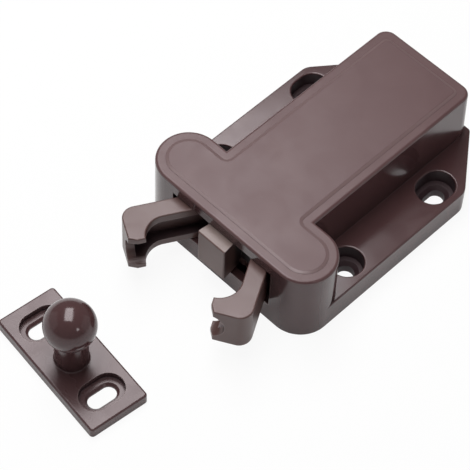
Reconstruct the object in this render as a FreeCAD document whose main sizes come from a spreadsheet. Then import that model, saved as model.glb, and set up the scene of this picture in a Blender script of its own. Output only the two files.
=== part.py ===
"""Cupboard catch latch: a housing with a sprung slider and two hooked jaws, and its ball strike.

Millimetres, +Z up. The base face lies on Z = 0 and the origin is the centre of the four screw holes.
The jaws open towards -Y. Inside a piece, Y is measured from the head's centre line.
"""
import FreeCAD, Part
import math
import os
import re

import Sketcher

Vector = FreeCAD.Vector

# How closely an edge's place must agree to be picked
NEAR = 1e-3

SIZES = {
    # Housing outline
    "head_depth": 15.6,
    "stem_width": 28.0,
    "stem_length": 61.7,
    "stem_draft": 2.0,
    "stem_embed": 2.0,
    "body_height": 21.3,
    "flange_height": 7.2,
    "flange_side_length": 47.6,
    "flange_ledge": 0.1,
    "flange_corner_radius": 4.0,
    "flange_tip_radius": 1.2,
    "flange_edge_radius": 0.35,
    "stem_corner_radius": 3.0,
    "top_edge_radius": 0.7,
    "panel_inset": 2.4,
    "panel_rise": 0.3,
    "panel_step": 0.05,
    "panel_slope_width": 0.7,
    "panel_corner_radius": 1.6,
    # Screw holes
    "seat_inner_margin": 2.3,
    "seat_outer_margin": 1.65,
    "seat_front_margin": 1.1,
    "seat_rear_margin": 4.1,
    "round_hole_diameter": 4.3,
    "slot_width": 4.0,
    "slot_length": 6.0,
    "counterbore_diameter": 8.2,
    "counterbore_floor": 3.2,
    "hole_chamfer": 0.95,
    "rim_radius": 0.35,
    # Housing hollow
    "front_wall": 2.0,
    "side_wall": 2.0,
    "rear_wall": 3.1,
    "roof": 3.3,
    "mouth_clearance": 1.25,
    "mouth_floor": 5.9,
    # Back cover
    "cover_thickness": 2.0,
    "cover_ledge": 1.0,
    "cover_clearance": 0.15,
    "groove_end_wall": 1.4,
    "groove_side_wall": 1.35,
    "rail_gap": 1.2,
    "rail_width": 2.0,
    "rail_length": 27.0,
    # Slider
    "travel": 12.0,
    "running_gap": 0.3,
    "side_gap": 0.4,
    "nose_reach": 11.0,
    "nose_width": 8.5,
    "nose_root_width": 7.0,
    "nose_undercut": 0.8,
    "nose_edge_radius": 0.4,
    "tongue_gap": 0.55,
    "tail_room": 2.15,
    # Jaws and their pins
    "pivot_spacing": 6.8,
    "pivot_setback": 1.75,
    "pin_diameter": 2.4,
    "pin_clearance": 0.03,
    "eye_radius": 2.7,
    "jaw_open_angle": 29.5,
    "jaw_outer": 6.55,
    "jaw_arm_width": 4.45,
    "jaw_corner_radius": 3.2,
    "jaw_edge_radius": 0.35,
    "jaw_tip_gap": 0.45,
    "jaw_tip_chamfer": 1.0,
    "jaw_plate": 2.2,
    "jaw_side_wall": 2.0,
    "jaw_front_wall": 2.1,
    "jaw_wall_start": 1.5,
    "jaw_gusset": 3.0,
    "hook_radius": 5.35,
    "hook_distance": 14.9,
    "hook_wall": 3.95,
    "peg_arm": 6.0,
    "peg_diameter": 2.6,
    "peg_clearance": 0.2,
    "tail_wall": 0.8,
    # Return spring
    "spring_wire": 0.9,
    "spring_diameter": 6.6,
    "spring_turns": 13,
    "spring_bore_clearance": 0.4,
    "spring_bore_depth": 14.0,
    "spring_end_gap": 0.05,
    "spring_post_length": 4.0,
    # Latching wire and its track
    "follower_wire": 1.2,
    "follower_clearance": 0.05,
    "follower_length": 20.0,
    "follower_swing": 9.8,
    "follower_lift": 0.6,
    "follower_bend": 1.0,
    "follower_socket_floor": 0.8,
    "follower_boss_diameter": 5.2,
    "follower_boss_height": 1.4,
    "track_depth": 1.3,
    "track_gap": 0.4,
    "track_front_wall": 4.8,
    "track_rear_wall": 3.0,
    "island_notch": 1.8,
    # Strike
    "strike_length": 36.2,
    "strike_width": 15.6,
    "strike_thickness": 2.9,
    "strike_corner_radius": 0.9,
    "strike_edge_radius": 0.5,
    "strike_slot_inset": 6.8,
    "strike_slot_width": 3.8,
    "strike_slot_length": 7.3,
    "strike_counterbore_width": 7.8,
    "strike_counterbore_floor": 1.1,
    "strike_slot_chamfer": 0.6,
    "ball_diameter": 12.2,
    "ball_height": 16.2,
    "neck_diameter": 7.9,
    "neck_clearance": 0.2,
    "neck_foot_radius": 0.3,
    "strike_across": -6.3,
    "strike_ahead": 48.1,
    "strike_turn": -6.6,
}

doc = FreeCAD.newDocument("cupboard_catch_latch")
sheet = doc.addObject("Spreadsheet::Sheet", "Sizes")
for row, (alias, number) in enumerate(SIZES.items(), start=1):
    sheet.set(f"A{row}", alias)
    sheet.set(f"B{row}", str(number))
    sheet.setAlias(f"B{row}", alias)
doc.recompute()

ALIAS = re.compile(r"\b(" + "|".join(SIZES) + r")\b")

# Levels and places that several pieces share, worked out from the sheet
OPEN = "(jaw_open_angle * 1 deg)"
HEAD_WIDTH = "(stem_width + 2 * (counterbore_diameter + seat_inner_margin + seat_outer_margin))"
HEAD_RADIUS = "(head_depth / 2)"
END_CENTRE = f"({HEAD_WIDTH} / 2 - {HEAD_RADIUS})"
SEAT_ACROSS = "(stem_width / 2 + seat_inner_margin + counterbore_diameter / 2)"
FRONT_SEAT = f"({HEAD_RADIUS} + seat_front_margin + counterbore_diameter / 2)"
REAR_SEAT = "(flange_side_length - seat_rear_margin)"
HEAD_LINE = f"(-({FRONT_SEAT} + {REAR_SEAT}) / 2)"
STEM_FOOT = "(flange_height - stem_embed)"
STEM_FLARE = f"((body_height - {STEM_FOOT}) * tan(stem_draft * 1 deg))"
CEILING = "(body_height - roof)"
SLIDER_TOP = "(body_height - roof - running_gap)"
SLIDER_BOTTOM = "(mouth_floor + running_gap)"
MID_HEIGHT = f"(({SLIDER_TOP} + {SLIDER_BOTTOM}) / 2)"
PLATE_LOW = f"({SLIDER_BOTTOM} + jaw_plate)"
PLATE_HIGH = f"({SLIDER_TOP} - jaw_plate)"
PIVOT_X = "(pivot_spacing / 2)"
PIN_HOLE = "(pin_diameter / 2 + pin_clearance)"
JAW_REACH = "(hook_distance + hook_radius + hook_wall)"
JAW_FROM_PIVOT = f"({HEAD_RADIUS} - pivot_setback + jaw_outer * sin({OPEN}))"
JAW_IN_MOUTH = f"({JAW_FROM_PIVOT} * tan({OPEN}) + jaw_outer * cos({OPEN}))"
CAVITY_HALF = f"({PIVOT_X} + {JAW_IN_MOUTH} + mouth_clearance)"
CAVITY_DEPTH = f"({HEAD_RADIUS} - front_wall)"
STEM_HALF = "(stem_width / 2 - side_wall)"
STEM_BACK = "(stem_length - rear_wall)"
PEG_X = f"(peg_arm * sin({OPEN}))"
PEG_Y = f"(peg_arm * cos({OPEN}))"
GROOVE_HALF = "(peg_diameter / 2 + peg_clearance)"
TAIL_RADIUS = "(peg_diameter / 2 + tail_wall)"
TRACK_ROOM = "(follower_wire / 2 + track_gap)"
TRACK_SWING = "(follower_length * sin(follower_swing * 1 deg))"
CARRIAGE_START = f"(peg_arm - pivot_setback + {TAIL_RADIUS} + tail_room)"
TRACK_FINISH = f"({CARRIAGE_START} + track_front_wall + {TRACK_ROOM})"
FOLLOWER_PIVOT = f"({TRACK_FINISH} + travel + follower_length * cos(follower_swing * 1 deg))"
TRACK_START = f"({FOLLOWER_PIVOT} - follower_length)"
CARRIAGE_END = f"({TRACK_START} + {TRACK_ROOM} + track_rear_wall)"
FOLLOWER_HEIGHT = "(cover_thickness + follower_boss_height + follower_lift + follower_wire / 2)"


def bind(text):
    """Turns bare size names into references to the sheet's cells."""
    return ALIAS.sub(r"Sizes.\1", str(text))


def value(text):
    """Gives an expression's number."""
    return float(sheet.evalExpression(bind(text)))


def new_body(name):
    """Starts a piece whose Y is measured from the head's centre line."""
    body = doc.addObject("PartDesign::Body", name)
    body.Label = name
    body.setExpression("Placement.Base.y", bind(HEAD_LINE))
    return body


def new_sketch(body, name, role="XY_Plane", offset="0"):
    """Lays a sketch on one of the piece's own origin planes, raised along its normal."""
    plane = next(item for item in body.Origin.OriginFeatures if item.Role == role)
    sketch = body.newObject("Sketcher::SketchObject", name)
    sketch.AttachmentSupport = [(plane, "")]
    sketch.MapMode = "FlatFace"
    sketch.setExpression("AttachmentOffset.Base.z", bind(offset))
    return sketch


def constrain(sketch, kind, target, text):
    """Adds a dimension that follows the sheet."""
    index = sketch.addConstraint(Sketcher.Constraint(kind, *target, value(text)))
    sketch.setExpression(f"Constraints[{index}]", bind(text))


def draw_circle(sketch, x, y, radius):
    centre = Vector(value(x), value(y), 0)
    circle = sketch.addGeometry(Part.Circle(centre, Vector(0, 0, 1), value(radius)))
    constrain(sketch, "DistanceX", (circle, 3), x)
    constrain(sketch, "DistanceY", (circle, 3), y)
    constrain(sketch, "Radius", (circle,), radius)


def tangent_arc(start, end, direction):
    """Gives the arc from start to end that leaves along direction, and whether it turns left."""
    left = Vector(-direction.y, direction.x, 0)
    chord = end - start
    reach = chord.dot(chord) / (2 * chord.dot(left))
    centre = start + left * reach
    turns_left = reach > 0
    first, last = (start, end) if turns_left else (end, start)
    angles = [math.atan2(p.y - centre.y, p.x - centre.x) for p in (first, last)]
    circle = Part.Circle(centre, Vector(0, 0, 1), abs(reach))
    return Part.ArcOfCircle(circle, angles[0], angles[1]), turns_left


def draw_outline(sketch, corners):
    """Draws a closed outline. A corner marked "arc" starts an arc tangent to the line before it."""
    points = [Vector(value(corner[0]), value(corner[1]), 0) for corner in corners]
    count = len(points)
    ends = []
    for i, corner in enumerate(corners):
        start, end = points[i], points[(i + 1) % count]
        if len(corner) == 3:
            direction = (start - points[i - 1]).normalize()
            arc, turns_left = tangent_arc(start, end, direction)
            ends.append((sketch.addGeometry(arc), 1 if turns_left else 2, 2 if turns_left else 1))
        else:
            ends.append((sketch.addGeometry(Part.LineSegment(start, end)), 1, 2))
    for i, corner in enumerate(corners):
        before, after = ends[i - 1], ends[i]
        kind = "Tangent" if len(corner) == 3 else "Coincident"
        sketch.addConstraint(Sketcher.Constraint(kind, before[0], before[2], after[0], after[1]))
        constrain(sketch, "DistanceX", (after[0], after[1]), corner[0])
        constrain(sketch, "DistanceY", (after[0], after[1]), corner[1])


def draw_rectangle(sketch, x0, y0, x1, y1):
    draw_outline(sketch, [(x0, y0), (x1, y0), (x1, y1), (x0, y1)])


def slot_corners(x, y, width, length):
    """Gives a round-ended slot along Y."""
    half = f"({width}) / 2"
    run = f"(({length}) - ({width})) / 2"
    return [
        (f"{x} + {half}", f"{y} - {run}"),
        (f"{x} + {half}", f"{y} + {run}", "arc"),
        (f"{x} - {half}", f"{y} + {run}"),
        (f"{x} - {half}", f"{y} - {run}", "arc"),
    ]


def pad(body, name, sketch, height):
    feature = body.newObject("PartDesign::Pad", name)
    feature.Profile = sketch
    feature.setExpression("Length", bind(height))
    doc.recompute()
    return feature


def pocket(body, name, sketch, depth, along_normal=False):
    """Cuts a sketch into the piece, and stops if it removed nothing."""
    before = body.Shape.Volume
    feature = body.newObject("PartDesign::Pocket", name)
    feature.Profile = sketch
    feature.Reversed = along_normal
    feature.setExpression("Length", bind(depth))
    doc.recompute()
    if body.Shape.Volume > before - NEAR:
        raise RuntimeError(f"{name} cuts nothing")
    return feature


def pick_edges(base, chosen):
    """Names the edges of a feature that the chosen test picks."""
    return base, [f"Edge{i}" for i, edge in enumerate(base.Shape.Edges, start=1) if chosen(edge)]


def round_edges(body, name, radius, chosen):
    """Rounds the edges of the piece that the chosen test picks."""
    edges = pick_edges(body.Tip, chosen)
    feature = body.newObject("PartDesign::Fillet", name)
    feature.Base = edges
    feature.setExpression("Radius", bind(radius))
    doc.recompute()
    return feature


def bevel_edges(body, name, chosen, size):
    """Slopes the edges of the piece that the chosen test picks."""
    edges = pick_edges(body.Tip, chosen)
    feature = body.newObject("PartDesign::Chamfer", name)
    feature.Base = edges
    feature.setExpression("Size", bind(size))
    doc.recompute()
    return feature


def level(edge, z):
    """Tells whether an edge lies flat at a height."""
    box = edge.BoundBox
    return abs(box.ZMin - z) < NEAR and abs(box.ZMax - z) < NEAR


def reach_from(edge, x):
    """Measures how far an edge reaches sideways from a line at x, on either side."""
    return max(abs(abs(edge.BoundBox.XMin) - x), abs(abs(edge.BoundBox.XMax) - x))


def upright_at(edge, x, y):
    """Tells whether an edge stands upright at a point of the plan, on either side."""
    box = edge.BoundBox
    stands = box.ZLength > NEAR and box.XLength < NEAR and box.YLength < NEAR
    return stands and abs(abs(box.Center.x) - abs(x)) < NEAR and abs(box.Center.y - y) < NEAR


def head_corners(inset="0"):
    """Gives the head's outline: two round ends joined by straight sides."""
    radius = f"({HEAD_RADIUS} - {inset})"
    return [
        (f"-{END_CENTRE}", f"-{radius}"),
        (END_CENTRE, f"-{radius}", "arc"),
        (END_CENTRE, radius),
        (f"-{END_CENTRE}", radius, "arc"),
    ]


def hollow_corners(grow):
    """Gives the T-shaped plan of the hollow, grown outwards."""
    half, deep = f"({CAVITY_HALF} + {grow})", f"({CAVITY_DEPTH} + {grow})"
    stem, back = f"({STEM_HALF} + {grow})", f"({STEM_BACK} + {grow})"
    return [
        (f"-{half}", f"-{deep}"), (half, f"-{deep}"), (half, deep), (stem, deep),
        (stem, back), (f"-{stem}", back), (f"-{stem}", deep), (f"-{half}", deep),
    ]


def make_housing():
    body = new_body("housing")
    half_head = f"{HEAD_WIDTH} / 2"
    half_foot, foot_back = f"(stem_width / 2 + {STEM_FLARE})", f"(stem_length + {STEM_FLARE})"
    half_tip, tip_back = f"({half_foot} + flange_ledge)", f"({foot_back} + flange_ledge)"

    sketch = new_sketch(body, "FlangeOutline")
    draw_outline(sketch, [
        (f"-{half_head}", "0"), (half_head, "0"), (half_head, "flange_side_length"),
        (half_tip, tip_back), (f"-{half_tip}", tip_back), (f"-{half_head}", "flange_side_length"),
    ])
    pad(body, "Flange", sketch, "flange_height")
    flange_corner = (value(half_head), value("flange_side_length"))
    flange_tip = (value(half_tip), value(tip_back))
    round_edges(body, "FlangeCorners", "flange_corner_radius", lambda edge: upright_at(edge, *flange_corner))
    round_edges(body, "FlangeTips", "flange_tip_radius", lambda edge: upright_at(edge, *flange_tip))
    flange_top, front = value("flange_height"), value("flange_edge_radius")
    round_edges(body, "FlangeEdge", "flange_edge_radius",
                lambda edge: level(edge, flange_top) and edge.BoundBox.YMax > front)

    sketch = new_sketch(body, "HeadOutline")
    draw_outline(sketch, head_corners())
    pad(body, "Head", sketch, "body_height")
    sketch = new_sketch(body, "StemOutline", offset=STEM_FOOT)
    turn = f"(stem_corner_radius + {STEM_FLARE})"
    draw_outline(sketch, [
        (f"-{half_foot}", "0"), (half_foot, "0"),
        (half_foot, f"{foot_back} - {turn}", "arc"), (f"{half_foot} - {turn}", foot_back),
        (f"{turn} - {half_foot}", foot_back, "arc"), (f"-{half_foot}", f"{foot_back} - {turn}"),
    ])
    stem = pad(body, "Stem", sketch, f"body_height - {STEM_FOOT}")
    stem.setExpression("TaperAngle", bind("-stem_draft"))
    doc.recompute()
    top = value("body_height")
    round_edges(body, "TopEdge", "top_edge_radius", lambda edge: level(edge, top))

    make_panel(body)
    make_screw_holes(body)

    sketch = new_sketch(body, "HollowPlan", offset=CEILING)
    draw_outline(sketch, hollow_corners("0"))
    pocket(body, "Hollow", sketch, CEILING)
    sketch = new_sketch(body, "CoverSeatPlan", offset="cover_thickness")
    draw_outline(sketch, hollow_corners("cover_ledge"))
    pocket(body, "CoverSeat", sketch, "cover_thickness")

    sketch = new_sketch(body, "MouthOutline", "XZ_Plane", HEAD_RADIUS)
    draw_rectangle(sketch, f"-{CAVITY_HALF}", "mouth_floor", CAVITY_HALF, CEILING)
    pocket(body, "Mouth", sketch, "front_wall")

    sketch = new_sketch(body, "SpringPostEnd", "XZ_Plane", f"spring_post_length - {STEM_BACK}")
    draw_circle(sketch, "0", MID_HEIGHT, "spring_diameter / 2 - spring_wire - running_gap")
    post = pad(body, "SpringPost", sketch, "spring_post_length")
    post.Reversed = True
    doc.recompute()
    return body


def make_panel(body):
    """Raises the panel that follows the top's outline."""
    sketch = new_sketch(body, "PanelHead", offset="body_height")
    draw_outline(sketch, head_corners("panel_inset"))
    pad(body, "HeadPanel", sketch, "panel_rise")
    half = "(stem_width / 2 - panel_inset)"
    back = "(stem_length - panel_inset)"
    sketch = new_sketch(body, "PanelStem", offset="body_height")
    draw_rectangle(sketch, f"-{half}", "0", half, back)
    pad(body, "StemPanel", sketch, "panel_rise")
    inner_corner = (value(half), value(f"{HEAD_RADIUS} - panel_inset"))
    outer_corner = (value(half), value(back))

    def panel_corner(edge):
        on_panel = edge.BoundBox.ZMin > value("body_height") - NEAR
        return on_panel and (upright_at(edge, *inner_corner) or upright_at(edge, *outer_corner))

    round_edges(body, "PanelCorners", "panel_corner_radius", panel_corner)
    panel_top = value("body_height + panel_rise")
    slope = bevel_edges(body, "PanelSlope", lambda edge: level(edge, panel_top), "panel_rise - panel_step")
    slope.ChamferType = "Two distances"
    slope.setExpression("Size2", bind("panel_slope_width"))
    doc.recompute()


def make_screw_holes(body):
    """Cuts two round holes in front and two slots behind, each with a sunk seat for the screw's head."""
    seat_length = "slot_length + counterbore_diameter - slot_width"
    for side, word in (("-", "Left"), ("", "Right")):
        across = f"{side}{SEAT_ACROSS}"
        sketch = new_sketch(body, f"{word}Seats", offset="flange_height")
        draw_circle(sketch, across, FRONT_SEAT, "counterbore_diameter / 2")
        draw_outline(sketch, slot_corners(across, REAR_SEAT, "counterbore_diameter", seat_length))
        pocket(body, f"{word}ScrewSeats", sketch, "flange_height - counterbore_floor")
        sketch = new_sketch(body, f"{word}Holes", offset="counterbore_floor")
        draw_circle(sketch, across, FRONT_SEAT, "round_hole_diameter / 2")
        draw_outline(sketch, slot_corners(across, REAR_SEAT, "slot_width", "slot_length"))
        pocket(body, f"{word}ScrewHoles", sketch, "counterbore_floor")
    floor, across = value("counterbore_floor"), value(SEAT_ACROSS)
    within_seat = value("counterbore_diameter / 2") - NEAR

    def hole_rim(edge):
        return level(edge, floor) and reach_from(edge, across) < within_seat

    bevel_edges(body, "HoleChamfers", hole_rim, "hole_chamfer")
    top = value("flange_height")
    inner, outer = value("stem_width / 2") + NEAR, value(f"{HEAD_WIDTH} / 2") - NEAR
    front, back = value(HEAD_RADIUS) + NEAR, value("flange_side_length + counterbore_diameter / 2")

    def seat_rim(edge):
        box = edge.BoundBox
        within = min(abs(box.XMin), abs(box.XMax)) > inner and max(abs(box.XMin), abs(box.XMax)) < outer
        return level(edge, top) and within and box.YMin > front and box.YMax < back

    round_edges(body, "SeatRims", "rim_radius", seat_rim)


def peg_groove(side):
    """Gives the slanted groove that a jaw's peg runs in, from the jaw open to the jaw closed."""
    along = f"(travel + {PEG_Y} - peg_arm)"
    length = f"sqrt({PEG_X}^2 + {along}^2)"
    unit_x, unit_y = f"({PEG_X} / {length})", f"({along} / {length})"
    corners = []
    for end, wide in ((-1, -1), (-1, 1), (1, 1), (1, -1)):
        far = 1 if end > 0 else 0
        out_x = f"{GROOVE_HALF} * ({end} * {unit_x} - {wide} * {unit_y})"
        out_y = f"{GROOVE_HALF} * ({end} * {unit_y} + {wide} * {unit_x})"
        x = f"{PIVOT_X} + {far} * {PEG_X} + {out_x}"
        y = f"peg_arm - pivot_setback + {far} * {along} + {out_y}"
        corners.append((f"{side} * ({x})", y))
    return corners


def make_back_cover():
    body = new_body("back_cover")
    sketch = new_sketch(body, "CoverPlan")
    draw_outline(sketch, hollow_corners("cover_ledge - cover_clearance"))
    pad(body, "CoverPlate", sketch, "cover_thickness")

    front = f"(peg_arm - pivot_setback - {GROOVE_HALF} - groove_end_wall)"
    back = f"(travel + {PEG_Y} - pivot_setback + {GROOVE_HALF} + groove_end_wall)"
    half_block = f"({PIVOT_X} + {PEG_X} + {GROOVE_HALF} + groove_side_wall)"
    guide_height = "mouth_floor - cover_thickness"
    sketch = new_sketch(body, "GuideBlockPlan", offset="cover_thickness")
    draw_rectangle(sketch, f"-{half_block}", front, half_block, back)
    pad(body, "GuideBlock", sketch, guide_height)
    sketch = new_sketch(body, "PegGroovePlan", offset="mouth_floor")
    for side in (1, -1):
        draw_outline(sketch, peg_groove(side))
    pocket(body, "PegGrooves", sketch, guide_height)

    for side, word in ((-1, "Left"), (1, "Right")):
        sketch = new_sketch(body, f"{word}RailPlan", offset="cover_thickness")
        far = f"{side} * ({STEM_HALF} - rail_gap)"
        near = f"{side} * ({STEM_HALF} - rail_gap - rail_width)"
        rail_start = f"{back} - groove_end_wall"
        draw_rectangle(sketch, near, rail_start, far, f"{rail_start} + rail_length")
        pad(body, f"{word}Rail", sketch, guide_height)

    sketch = new_sketch(body, "FollowerBossPlan", offset="cover_thickness")
    draw_circle(sketch, "0", FOLLOWER_PIVOT, "follower_boss_diameter / 2")
    pad(body, "FollowerBoss", sketch, "follower_boss_height")
    sketch = new_sketch(body, "FollowerSocketPlan", offset="cover_thickness + follower_boss_height")
    draw_circle(sketch, "0", FOLLOWER_PIVOT, "follower_wire / 2 + follower_clearance")
    pocket(body, "FollowerSocket", sketch, "cover_thickness + follower_boss_height - follower_socket_floor")
    return body


def make_slider():
    body = new_body("slider")
    nose, root = "nose_width / 2", "nose_root_width / 2"
    nose_back = "-(pivot_setback + eye_radius + 2 * running_gap)"
    nose_bottom = f"({SLIDER_BOTTOM} + nose_undercut)"
    sketch = new_sketch(body, "NosePlan", offset=nose_bottom)
    draw_outline(sketch, [
        (f"-{nose}", "-nose_reach"), (nose, "-nose_reach"), (root, nose_back), (f"-{root}", nose_back),
    ])
    pad(body, "Nose", sketch, f"{SLIDER_TOP} - {nose_bottom}")
    face = value("-nose_reach")
    round_edges(body, "NoseEdges", "nose_edge_radius", lambda edge: edge.BoundBox.YMax < face + NEAR)

    half_tongue = f"({PIVOT_X} + jaw_outer - jaw_side_wall - tongue_gap)"
    half_carriage = f"({STEM_HALF} - side_gap)"
    core_front = "-(pivot_setback + eye_radius + jaw_gusset)"
    tongue_front = "-(pivot_setback + eye_radius)"
    sketch = new_sketch(body, "TonguePlan", offset=f"{PLATE_LOW} + running_gap")
    draw_outline(sketch, [
        (f"-{root}", core_front), (root, core_front), (root, tongue_front), (half_tongue, tongue_front),
        (half_tongue, CARRIAGE_START), (f"-{half_tongue}", CARRIAGE_START),
        (f"-{half_tongue}", tongue_front), (f"-{root}", tongue_front),
    ])
    pad(body, "Tongue", sketch, f"{PLATE_HIGH} - {PLATE_LOW} - 2 * running_gap")
    sketch = new_sketch(body, "CarriagePlan", offset=SLIDER_BOTTOM)
    draw_rectangle(sketch, f"-{half_carriage}", CARRIAGE_START, half_carriage, CARRIAGE_END)
    pad(body, "Carriage", sketch, f"{SLIDER_TOP} - {SLIDER_BOTTOM}")

    sketch = new_sketch(body, "PinHolePlan", offset=PLATE_HIGH)
    for side in ("-", ""):
        draw_circle(sketch, f"{side}{PIVOT_X}", "-pivot_setback", PIN_HOLE)
    pocket(body, "PinHoles", sketch, f"{PLATE_HIGH} - {PLATE_LOW}")
    sketch = new_sketch(body, "SpringBoreEnd", "XZ_Plane", f"-{CARRIAGE_END}")
    draw_circle(sketch, "0", MID_HEIGHT, "spring_diameter / 2 + spring_bore_clearance")
    pocket(body, "SpringBore", sketch, "spring_bore_depth", along_normal=True)

    sketch = new_sketch(body, "TrackPlan", offset=f"{SLIDER_BOTTOM} + track_depth")
    wide = f"({TRACK_SWING} + {TRACK_ROOM})"
    near, far = f"{TRACK_FINISH} - {TRACK_ROOM}", f"{TRACK_START} + {TRACK_ROOM}"
    draw_rectangle(sketch, f"-{wide}", near, wide, far)
    run = f"({TRACK_START} - {TRACK_FINISH})"
    shoulder = f"({TRACK_FINISH} + {TRACK_ROOM})"
    shoulder_x = f"({TRACK_SWING} * (1 - {TRACK_ROOM} / {run}) - {TRACK_ROOM})"
    apex = f"({TRACK_START} - {run} * {TRACK_ROOM} / {TRACK_SWING} - {TRACK_ROOM})"
    draw_outline(sketch, [
        ("0", apex),
        (f"-{shoulder_x}", shoulder),
        ("0", f"{shoulder} + island_notch"),
        (shoulder_x, shoulder),
    ])
    pocket(body, "HeartTrack", sketch, "track_depth")
    return body


def make_jaw():
    """Builds the right jaw with its arm along -Y and its pivot on the piece's own Z axis."""
    body = doc.addObject("PartDesign::Body", "jaw_right")
    body.Label = "jaw_right"
    inner = "(jaw_outer - jaw_arm_width)"
    tip = f"(jaw_tip_gap - {PIVOT_X})"
    hook_end = f"-(hook_distance + sqrt(hook_radius^2 - ({inner} - hook_radius - {tip})^2))"
    sketch = new_sketch(body, "JawPlan", offset=SLIDER_BOTTOM)
    draw_outline(sketch, [
        ("0", "-eye_radius"),
        (inner, "-(eye_radius + jaw_gusset)"),
        (inner, "-hook_distance", "arc"),
        (tip, hook_end),
        (tip, f"2 * jaw_tip_chamfer - {JAW_REACH}"),
        (f"{tip} + jaw_tip_chamfer", f"-{JAW_REACH}"),
        ("jaw_outer - jaw_corner_radius", f"-{JAW_REACH}", "arc"),
        ("jaw_outer", f"jaw_corner_radius - {JAW_REACH}"),
        ("jaw_outer", "-jaw_wall_start"),
        ("0", "eye_radius"),
    ])
    pad(body, "JawBlank", sketch, f"{SLIDER_TOP} - {SLIDER_BOTTOM}")
    sketch = new_sketch(body, "EyePlan", offset=SLIDER_BOTTOM)
    draw_circle(sketch, "0", "0", "eye_radius")
    pad(body, "Eye", sketch, f"{SLIDER_TOP} - {SLIDER_BOTTOM}")

    sketch = new_sketch(body, "ChannelPlan", offset=PLATE_HIGH)
    wall_inside, front_inside = "jaw_outer - jaw_side_wall", f"jaw_front_wall - {JAW_REACH}"
    draw_outline(sketch, [
        (f"-{JAW_REACH}", front_inside), (wall_inside, front_inside), (wall_inside, "-jaw_wall_start"),
        (JAW_REACH, "-jaw_wall_start"), (JAW_REACH, JAW_REACH), (f"-{JAW_REACH}", JAW_REACH),
    ])
    pocket(body, "BallChannel", sketch, f"{PLATE_HIGH} - {PLATE_LOW}")
    sketch = new_sketch(body, "NeckNotchOutline", "XZ_Plane", JAW_REACH)
    draw_circle(sketch, f"-{PIVOT_X}", MID_HEIGHT, "neck_diameter / 2 + neck_clearance")
    pocket(body, "NeckNotch", sketch, f"{JAW_REACH} - hook_distance")

    top, bottom = value(SLIDER_TOP), value(SLIDER_BOTTOM)
    ahead = value("-(eye_radius + jaw_gusset)")

    def outer_edge(edge):
        return (level(edge, top) or level(edge, bottom)) and edge.BoundBox.YMin < ahead

    round_edges(body, "JawEdges", "jaw_edge_radius", outer_edge)

    step_x, step_y = f"{TAIL_RADIUS} * cos({OPEN})", f"(-{TAIL_RADIUS} * sin({OPEN}))"
    sketch = new_sketch(body, "TailPlan", offset=SLIDER_BOTTOM)
    draw_outline(sketch, [
        (step_x, step_y), (f"{PEG_X} + {step_x}", f"{PEG_Y} + {step_y}"),
        (f"{PEG_X} - {step_x}", f"{PEG_Y} - {step_y}"), (f"-{step_x}", f"-{step_y}"),
    ])
    pad(body, "Tail", sketch, "jaw_plate")
    sketch = new_sketch(body, "TailEndPlan", offset=SLIDER_BOTTOM)
    draw_circle(sketch, PEG_X, PEG_Y, TAIL_RADIUS)
    pad(body, "TailEnd", sketch, "jaw_plate")
    peg_bottom = "(cover_thickness + running_gap)"
    sketch = new_sketch(body, "PegPlan", offset=peg_bottom)
    draw_circle(sketch, PEG_X, PEG_Y, "peg_diameter / 2")
    pad(body, "Peg", sketch, f"{SLIDER_BOTTOM} - {peg_bottom}")
    sketch = new_sketch(body, "PinHolePlan", offset=SLIDER_TOP)
    draw_circle(sketch, "0", "0", PIN_HOLE)
    pocket(body, "PinHole", sketch, f"{SLIDER_TOP} - {SLIDER_BOTTOM}")
    place_on_pivot(body)
    body.setExpression("Placement.Rotation.Yaw", bind(OPEN))
    return body


def place_on_pivot(piece):
    """Sets a piece on the right jaw's pivot."""
    piece.setExpression("Placement.Base.x", bind(PIVOT_X))
    piece.setExpression("Placement.Base.y", bind(f"{HEAD_LINE} - pivot_setback"))


def make_jaw_pin():
    pin = doc.addObject("Part::Cylinder", "jaw_pin_right")
    pin.setExpression("Radius", bind("pin_diameter / 2"))
    pin.setExpression("Height", bind(f"{SLIDER_TOP} - {SLIDER_BOTTOM}"))
    place_on_pivot(pin)
    pin.setExpression("Placement.Base.z", bind(SLIDER_BOTTOM))
    return pin


def mirrored(piece, name):
    """Makes the left-hand twin of a right-hand piece."""
    twin = doc.addObject("Part::Mirroring", name)
    twin.Label = name
    twin.Source = piece
    twin.Normal = Vector(1, 0, 0)
    return twin


def make_return_spring():
    """Winds the spring between the slider's bore and the rear wall."""
    length = f"({STEM_BACK} - {CARRIAGE_END} + spring_bore_depth - 2 * spring_end_gap - spring_wire)"
    mean_radius = "(spring_diameter - spring_wire) / 2"
    helix = doc.addObject("Part::Helix", "SpringLine")
    helix.setExpression("Radius", bind(mean_radius))
    helix.setExpression("Height", bind(length))
    helix.setExpression("Pitch", bind(f"{length} / spring_turns"))
    section = doc.addObject("Part::Circle", "SpringWire")
    section.setExpression("Radius", bind("spring_wire / 2"))
    section.Placement.Rotation = FreeCAD.Rotation(Vector(1, 0, 0), 90)
    section.setExpression("Placement.Base.x", bind(mean_radius))
    spring = doc.addObject("Part::Sweep", "return_spring")
    spring.Sections = [section]
    spring.Spine = (helix, ["Edge1"])
    spring.Solid = True
    spring.Frenet = True
    spring.Placement.Rotation = FreeCAD.Rotation(Vector(1, 0, 0), -90)
    seat = f"{HEAD_LINE} + {CARRIAGE_END} - spring_bore_depth + spring_end_gap + spring_wire / 2"
    spring.setExpression("Placement.Base.y", bind(seat))
    spring.setExpression("Placement.Base.z", bind(MID_HEIGHT))
    return spring


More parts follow.
